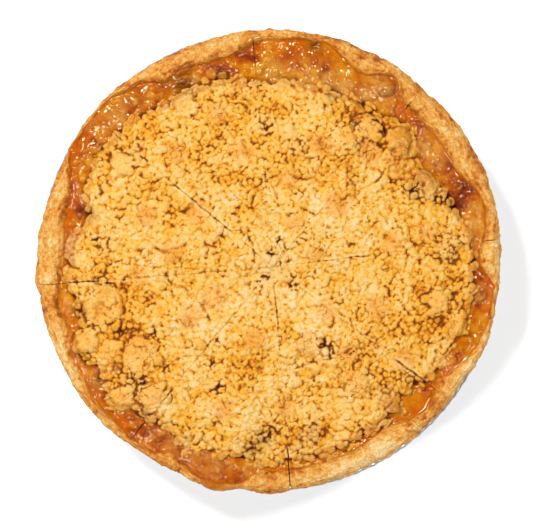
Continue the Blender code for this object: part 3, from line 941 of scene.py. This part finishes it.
def press_clump(field, x, y, width, draw):
    """One large clump, in millimetres: a low dome with lobes and grains on it."""
    field.press(x * MM, y * MM, width * MM, -0.16 * width * MM, 0.30, draw, smooth=1.0)
    parts = [draw.uniform(0.25, 0.42) * width for _ in range(9)]
    parts += [draw.uniform(1.6, 3.8) for _ in range(int(0.35 * width**2))]
    for part in parts:
        turn = draw.uniform(0, math.tau)
        reach = (0.5 * width - 0.4 * part) * math.sqrt(draw.random())
        bulge = 0.14 * width * math.sqrt(1 - (reach / (0.52 * width)) ** 2)
        lift = (bulge - 0.22 * part) * MM
        field.press(*beside(x, y, reach, turn), part * MM, lift, 0.36, draw, smooth=1.0)


def lean_crumbs(field, x, y, width, draw):
    """Small crumbs that lean on a clump's edge all round it."""
    for _ in range(int(1.2 * width)):
        turn, part = draw.uniform(0, math.tau), draw.uniform(2.2, 5.0)
        reach = 0.5 * width * draw.uniform(0.9, 1.15)
        lift = draw.uniform(-0.3, 0.1) * part * MM
        field.press(*beside(x, y, reach, turn), part * MM, lift, 0.40, draw)


def scatter_edge(field, draw):
    """Crumbs along the topping's edge, some of them out on the juice."""
    for _ in range(EDGE_CRUMBS):
        degrees = draw.uniform(0, 360)
        beyond = draw.uniform(-3, 1) + 3.6 * draw.random() ** 3 + 2.2 * near_stretches(degrees, DRY_EDGES)
        radius = (around(degrees, TOPPING_EDGE) + beyond) * MM
        turn = math.radians(degrees)
        width = draw.uniform(2.4, 6.0) * MM
        x, y = radius * math.cos(turn), radius * math.sin(turn)
        lift = max(0, GLAZE_LEVEL + 0.9 * MM - field.level_at(x, y))
        field.press(x, y, width, lift - 0.34 * width - draw.uniform(0, 1.4) * MM, 0.46, draw)


def crumb_field(draw):
    """The topping: crumbs pressed one by one, then tan patches, cracks, holes, stains and cuts."""
    field = CrumbField()
    flat, warped, height = field.flat, field.warped, field.height
    field.dome = field.dome + 1.3 * MM * layered(flat, 10, 281, 2)
    for x, y, width in carpet_crumbs(draw):
        field.press(x, y, width, -0.40 * width + draw.uniform(-0.6, 0.4) * MM, 0.40, draw)
    for x, y, width in standing_crumbs(draw):
        field.press(x, y, width, -0.34 * width + draw.uniform(-0.6, 0.3) * MM, 0.40, draw)
    lumps = blurred(height, 1) - blurred(height, 8)
    scatter_edge(field, draw)
    for clump in LARGE_CLUMPS:
        press_clump(field, *clump, draw)
    for clump in LARGE_CLUMPS:
        lean_crumbs(field, *clump, draw)
    height += (0.3 * (blurred(height, 1) - height) + 0.3 * lumps) * field.smooth
    tan = np.zeros_like(height)
    for x, y, width in TAN_PATCHES:
        tan = np.maximum(tan, smoothstep(1.2, 0.6, distance(warped, x * MM, y * MM) / (width * MM / 2)))
    height += (blurred(height, 3) + 0.4 * MM - height) * 0.5 * tan
    inside = smoothstep(2.5 * MM, 0, field.radius - field.edge)
    below = np.clip(blurred(height, 3) - 0.2 * MM - height, 0, None)
    height += inside * below * below / (below + 0.5 * MM)
    crevices = winding(warped, 19, 0.09, 291) * smoothstep(-0.2, 0.6, layered(flat, 9, 295, 2))
    cracks = winding(warped, 7, 0.05, 297) * np.maximum(tan, field.smooth)
    height -= inside * (1.3 * MM * crevices + 0.7 * MM * cracks)
    cavity = np.clip((blurred(height, 2) - height) / (0.7 * MM), -1, 1)
    # field.holes: how strongly each sample lies in a sunk hole, for the painted shade there in crumb_colours.
    field.holes = np.zeros_like(height)
    for x, y, width, depth in HOLES:
        hole = bell(distance(warped, x * MM, y * MM), 0.9 * width * MM)
        sunk = hole * smoothstep(-0.6, 0.6, cavity)
        height -= 0.6 * depth * MM * sunk
        field.holes = np.maximum(field.holes, sunk)
    height -= 2.2 * MM * place_weight(flat, RED_PLACES) * smoothstep(-0.8, 0.4, cavity)
    field.cut, field.crushed = knife_marks(field)
    height -= GROOVE_DEPTH * field.cut
    field.rough = layered(flat, 1.5, 221, 2)
    height += inside * 0.38 * MM * field.rough
    np.maximum(height, SKIRT_HEIGHT + 0.3 * MM, out=height)
    field.tan = tan
    # cavity and the next line measure hollows for crumb_colours, which paints shade into them: cavity in the
    # crevices between crumbs, the next one between clusters of crumbs.
    detail = np.clip(height - blurred(height, 6), -2 * MM, 0.5 * MM)
    field.cavity = np.clip((blurred(detail, 2) - detail) / (0.5 * MM), -1, 1)
    field.hollow = np.clip((blurred(height, 14) - blurred(height, 3)) / (1.0 * MM), -1, 1)
    return field


def knife_marks(field):
    """Grooves along the cuts, filled by crumbs in places, and crushed crumbs beside them, from 0 to 1."""
    marks = np.zeros(field.x.shape)
    crushed = np.zeros(field.x.shape)
    for index in range(len(CUTS)):
        ahead, left, wander, line = off_the_knife(field.x, field.y, index)
        shown = sum(
            min(1, 0.15 + 10 * width) * between(start * MM, end * MM, 4 * MM, ahead)
            for cut, start, end, width in GAPING if cut == index
        )
        shown = np.maximum(shown, 0.4 * smoothstep(-0.3, 0.3, layered(line, 9, 421, 2)))
        shown = shown * (ahead > 0)
        off = left - wander
        marks = np.maximum(marks, bell(off, GROOVE_WIDTH) * shown)
        pressed = bell(off - 1.1 * MM, 0.8 * MM) + 0.5 * bell(off + 1.1 * MM, 0.7 * MM)
        crushed = np.maximum(crushed, pressed * shown)
    return marks, np.clip(crushed, 0, 1)


def soaked(field):
    """How far juice has soaked or covered the crumbs near the rim, from 0 to 1."""
    depth = np.full(field.x.shape, SOAKED_EDGE)
    for place, half, reach in SOAKED:
        off = np.abs(angle_off(field.degrees, place)) / half
        depth = np.maximum(depth, reach * np.clip(1 - off**2, 0, 1))
    flooded = smoothstep(2.4 * MM, -1.0 * MM, field.height - 39.8 * MM - 0.5 * MM * depth)
    depth = depth * MM * (1 + 0.7 * layered(field.flat, 8, 231, 2))
    return smoothstep(-1.3, -0.6, (field.radius - field.edge) / depth) * flooded


def crumb_colours(field):
    flat = field.flat
    # Painted shade and light: crevices are coloured darker, raised tops and grains paler, and the pale tints
    # below are kept out of the crevices.
    crevice_shade = np.clip(field.cavity, 0, 1)
    level = np.clip(1 - field.cavity, 0, 1)
    tone = 0.45 + 0.12 * field.shade + 0.28 * layered(flat, 26, 241) + 0.14 * layered(flat, 3, 251, 2)
    crevice_shade_strength = 0.46 * (1 + 0.8 * layered(flat, 5, 257, 2))
    tone += crevice_shade_strength * crevice_shade**1.2 - 0.24 * np.clip(-field.cavity, 0, 1) - 0.06 * field.rough
    # Painted shade: darker in the broad hollows between clusters of crumbs.
    tone += 0.10 * field.hollow + 0.27 * layered(flat, 9, 255, 2)
    # Browner towards the rim, and darker in the knife's grooves and the dark holes, which is painted shade.
    tone += 0.16 * smoothstep(55 * MM, 100 * MM, field.radius) + 0.16 * field.cut + 0.35 * field.holes
    colours = ramp(tone, CRUMB_TONES)
    # Tone for tan patches and clumps: browning noise, darkened by painted shade in crevices and in the
    # hollows between clusters.
    browning_and_shade = 0.42 + 0.4 * layered(flat, 4, 261) + 0.45 * crevice_shade + 0.25 * field.hollow
    colours = mixed(colours, ramp(browning_and_shade, TAN_TONES), 0.7 * field.tan)
    colours = mixed(colours, ramp(browning_and_shade, CLUMP_TONES), 0.65 * field.smooth)
    pale = smoothstep(0.25, 0.6, layered(field.warped, 12, 265, 2)) * (1 - field.tan)
    colours = tinted(colours, PALE_CRUMB, 0.45 * pale * np.clip(1 - 2 * field.cavity, 0, 1))
    dots = smoothstep(0.62, 0.8, grain(flat, 1.1 * MM, 266))
    dots *= smoothstep(-0.2, 0.4, layered(flat, 16, 267, 2))
    colours = tinted(colours, DARK_SPECK, 0.75 * dots)
    middle = bell(distance(flat, CUT_CENTRE.x, CUT_CENTRE.y), 9 * MM)
    colours = tinted(colours, CRUSHED_CRUMB, 0.45 * middle * level)
    colours = tinted(colours, CUT_CRUMB, 0.6 * field.crushed * level)
    wet = soaked(field)
    # Soaked crumbs take a glaze colour, darker in crevices as painted shade; the burnt and red stains are
    # also deepened in crevices by painted shade.
    glaze = ramp(0.3 + 0.4 * layered(flat, 6, 271) + 0.4 * field.cavity, GLAZE_TONES)
    colours = mixed(colours, glaze, 0.68 * wet)
    burnt = place_weight(flat, BURNT_PLACES + RED_PLACES)
    colours = tinted(colours, BURNT, np.clip(burnt * (0.7 + 0.6 * field.cavity), 0, 0.9))
    return colours, wet


def topping_slice(field, colours, wet, number, material):
    """One slice of the crumb topping: its stretch of the grid, cut at both sides and closed below."""
    planes = knife_planes(number)
    kept = field.radius < field.edge + 5 * MM
    for point, outward in planes:
        beyond = (field.x - point.x) * outward.x + (field.y - point.y) * outward.y
        kept &= beyond < 4 * GRID
    cells = kept[:-1, :-1] & kept[1:, :-1] & kept[1:, 1:] & kept[:-1, 1:]
    total = len(field.ticks)
    i, j = np.nonzero(cells)
    corner = i * total + j
    faces = np.stack([corner, corner + total, corner + total + 1, corner + 1], axis=-1)
    used, faces = np.unique(faces, return_inverse=True)
    faces = faces.reshape(-1, 4)
    points = np.stack([field.x.ravel()[used], field.y.ravel()[used], field.height.ravel()[used]], axis=-1)
    points = crumbled(points, number, 1)
    sheet = mesh_of("crumb_sheet", points, faces, colours.reshape(-1, 3)[used], wet.ravel()[used])
    sheet.shade_smooth()
    bm = bmesh.new()
    bm.from_mesh(sheet)
    bpy.data.meshes.remove(sheet)
    for point, outward in planes:
        cut_off(bm, point, outward)
    border = [edge for edge in bm.edges if edge.is_boundary]
    sides = bmesh.ops.extrude_edge_only(bm, edges=border)["geom"]
    for part in sides:
        if isinstance(part, bmesh.types.BMVert):
            part.co.z = SKIRT_HEIGHT
    bmesh.ops.edgeloop_fill(bm, edges=[edge for edge in bm.edges if edge.is_boundary])
    name = f"crumb_topping_{number + 1}"
    return finished(bm, name, material, lambda points: parted(crumbled(points, number, -1), number))


def add_pie():
    draw = np.random.default_rng(11)
    pastry = baked_material("pastry_look", 1.0 * MM, 0.6 * MM, 0.4, 0.62, 0.1, {
        "Specular IOR Level": 0.3, "Subsurface Weight": 0.1, "Subsurface Radius": (0.9, 0.45, 0.2),
        "Subsurface Scale": 2 * MM,
    })
    filling = baked_material("filling_look", 1.6 * MM, 0.02 * MM, 0.18, 0.3, 0.03, {
        "Specular IOR Level": 0.42, "Specular Tint": (1.0, 0.8, 0.5, 1),
    })
    crumb = baked_material("crumb_look", 0.9 * MM, 0.3 * MM, 0.18, 0.72, 0.2, {
        "Specular IOR Level": 0.15, "Subsurface Weight": 0.1, "Subsurface Radius": (0.9, 0.5, 0.2),
        "Subsurface Scale": 1.5 * MM,
    })
    crust_whole = crust_mesh()
    filling_whole = filling_mesh(draw)
    field = crumb_field(draw)
    colours, wet = crumb_colours(field)
    for number in range(len(CUTS)):
        mark = number + 1
        pieces = (
            (slice_of(crust_whole, f"pastry_{mark}", number, pastry), f"crust_{mark}", "pastry"),
            (slice_of(filling_whole, f"apple_filling_{mark}", number, filling), f"filling_{mark}", "filling"),
            (topping_slice(field, colours, wet, number, crumb), f"topping_{mark}", "crumb"),
        )
        for piece, node_name, slot in pieces:
            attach(piece, "root")
            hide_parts(node_name)
    bpy.data.meshes.remove(crust_whole)
    bpy.data.meshes.remove(filling_whole)


# The foil tin


TIN_SIDES = 640
FLUTES = 80
TIN_SHEET = 0.3 * MM
TIN_CURL = 1.4 * MM
TIN_ROWS = (26, 3, 3, 24, 3, 5, 3, 3, 3, 3)
# Radii of the rings pressed into the floor, in millimetres
FLOOR_RINGS = (30, 55, 78)


def add_tin():
    """Thin pressed foil: concentric rings in the floor, a fluted wall and a curled, pinched lip."""
    degrees = np.arange(TIN_SIDES) * 360 / TIN_SIDES
    turns = np.radians(degrees)[:, None]
    curl = TIN_CURL
    upper = [
        (0, FOIL),
        (TIN_FLOOR_RADIUS, FOIL),
        (TIN_FLOOR_RADIUS + 3 * MM, FOIL + 1 * MM),
        TIN_WALL_BOTTOM,
        TIN_WALL_TOP,
        (TIN_WALL_TOP[0] + 1.6 * MM, TIN_LIP_HEIGHT),
        (TIN_LIP_RADIUS - curl, TIN_LIP_HEIGHT),
        (TIN_LIP_RADIUS - 0.3 * curl, TIN_LIP_HEIGHT - 0.4 * curl),
        (TIN_LIP_RADIUS, TIN_LIP_HEIGHT - curl),
        (TIN_LIP_RADIUS - 0.4 * curl, TIN_LIP_HEIGHT - 2 * curl),
        (TIN_LIP_RADIUS - 1.6 * curl, TIN_LIP_HEIGHT - 1.8 * curl),
    ]
    sheet = rows_through(corner_rows(degrees, upper), TIN_ROWS, ())
    radius, height = sheet[..., 0], sheet[..., 1]
    wall = smoothstep(4 * MM, 8 * MM, height) * smoothstep(33 * MM, 30 * MM, height)
    flutes = np.cos(FLUTES * turns + 0.6 * np.sin(3 * turns)) * wall
    pinches = np.cos(2 * FLUTES * turns) * smoothstep(119 * MM, 123 * MM, radius)
    rings = sum(bell(radius - ring * MM, 1.4 * MM) for ring in FLOOR_RINGS)
    crumple = layered(swung(turns, radius, height), 14, 301)
    radius = radius + 0.45 * MM * flutes + 0.12 * MM * pinches + 0.15 * MM * crumple * wall
    height = height + 0.45 * MM * rings * (radius < TIN_FLOOR_RADIUS) + 0.1 * MM * pinches
    upper_skin = swung(turns, radius, height)[:, 1:]
    lower_skin = upper_skin - outward_of(upper_skin) * TIN_SHEET
    lower_skin[..., 2] = np.maximum(lower_skin[..., 2], 0)
    skin = np.concatenate([upper_skin, lower_skin[:, ::-1]], axis=1)
    mesh = closed_mesh("foil_sheet", skin, (FOIL, FOIL - TIN_SHEET))
    tin = new_object("foil_pie_tin", mesh, foil_material())
    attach(tin, "root")
    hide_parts("foil_tin")


# The stage


PHOTO_SIZE = (533, 521)
PIE_CENTRE_PIXEL = (269.4, 261.1)
MM_PER_PIXEL = 0.5388
CAMERA_DISTANCE = 1.2
RIM_PLANE = 38 * MM
SENSOR_WIDTH = 36
FLOOR_SIZE = 4
# Soft light from all round: its colour and strength
SURROUND = ((1.0, 0.97, 0.93, 1), 0.22)
# Round lamps that face the pie: (name, place and width in metres, power in watts)
LAMPS = (
    ("key", (-0.5, 0.6, 1.0), 0.32, 15.0),
    ("right", (0.7, 0.4, 0.95), 0.2, 6.0),
    ("front", (0.45, -0.7, 0.95), 0.2, 6.0),
    ("left", (-0.7, -0.4, 0.95), 0.2, 6.0),
)


def add_floor():
    bpy.ops.mesh.primitive_plane_add(size=FLOOR_SIZE)
    floor = bpy.context.object
    floor.name = "floor"
    floor.data.materials.append(floor_material())


def add_lamp(name, place, width, power):
    light = bpy.data.lights.new(name, "AREA")
    light.shape = "DISK"
    light.size = width
    light.energy = power
    lamp = placed(name, light)
    lamp.location = place
    lamp.rotation_euler = (-Vector(place)).to_track_quat("-Z", "Y").to_euler()


def add_camera():
    """Straight above, with the pie's centre and scale where the photo has them."""
    data = bpy.data.cameras.new("camera")
    data.sensor_width = SENSOR_WIDTH
    frame_width = PHOTO_SIZE[0] * MM_PER_PIXEL * MM
    data.lens = data.sensor_width * CAMERA_DISTANCE / frame_width
    camera = placed("camera", data)
    right = (PHOTO_SIZE[0] / 2 - PIE_CENTRE_PIXEL[0]) * MM_PER_PIXEL * MM
    up = (PIE_CENTRE_PIXEL[1] - PHOTO_SIZE[1] / 2) * MM_PER_PIXEL * MM
    camera.location = (right, up, RIM_PLANE + CAMERA_DISTANCE)
    bpy.context.scene.camera = camera


def add_stage():
    add_floor()
    world = bpy.data.worlds.new("studio")
    world.use_nodes = True
    set_inputs(world.node_tree.nodes["Background"], dict(zip(("Color", "Strength"), SURROUND)))
    bpy.context.scene.world = world
    for lamp in LAMPS:
        add_lamp(*lamp)
    bpy.context.scene.view_settings.view_transform = "Standard"
    add_camera()


add_pie()
add_tin()
add_stage()
